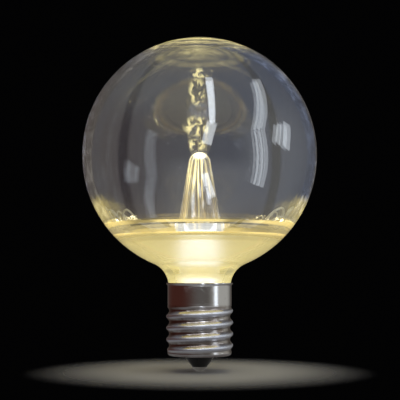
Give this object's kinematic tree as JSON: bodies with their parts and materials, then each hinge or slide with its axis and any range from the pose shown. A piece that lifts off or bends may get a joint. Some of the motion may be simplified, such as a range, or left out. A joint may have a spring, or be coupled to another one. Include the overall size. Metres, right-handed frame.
{
  "type": "globe light bulb",
  "caption": "Globe lamp: clear dome with a light cone, glowing frosted bowl and neck, bright screw cap with black insulator and centre contact.",
  "frame": {"origin": "tip of the centre contact, on the lamp axis", "axes": "+Z along the lamp axis from the cap to the crown of the globe; a thread crest passes +X 14.9 mm up"},
  "size_m": [0.0582, 0.0582, 0.0828],
  "materials": {
    "clear_dome": "clear moulded plastic, polished",
    "clear_lens": "clear moulded plastic, warm where it carries light",
    "frosted_bowl": "frosted inside, lit warm white from within",
    "clear_cement": "clear cement, uneven",
    "led_phosphor": "white package with yellow phosphor",
    "board_white": "white solder mask",
    "board_green": "glass epoxy board",
    "component_black": "moulded epoxy",
    "capacitor_brown": "dipped epoxy",
    "resistor_tan": "lacquer",
    "pin_tinned": "tinned",
    "wire_white": "insulated wire",
    "wire_red": "insulated wire",
    "insulator_black": "black moulded plastic, smooth",
    "contact_metal": "plated, worn by the socket",
    "cap_nickel": "bright nickel plate, lightly worn"
  },
  "bodies": {
    "root": {"globe_dome": "clear_dome", "core_lens": "clear_lens", "globe_bowl": "frosted_bowl", "joint_cement": "clear_cement", "led_board": "board_white", "led_1": "led_phosphor", "led_2": "led_phosphor", "led_3": "led_phosphor", "led_4": "led_phosphor", "led_5": "led_phosphor", "driver_board": "board_green", "bridge_rectifier": "component_black", "film_capacitor": "capacitor_brown", "resistor_1": "resistor_tan", "resistor_2": "resistor_tan", "board_pin_live": "pin_tinned", "board_pin_neutral": "pin_tinned", "lead_wire_shell": "wire_white", "lead_wire_contact": "wire_red", "cap_insulator": "insulator_black", "centre_contact": "contact_metal", "cap_shell": "cap_nickel"}
  },
  "joints": []
}
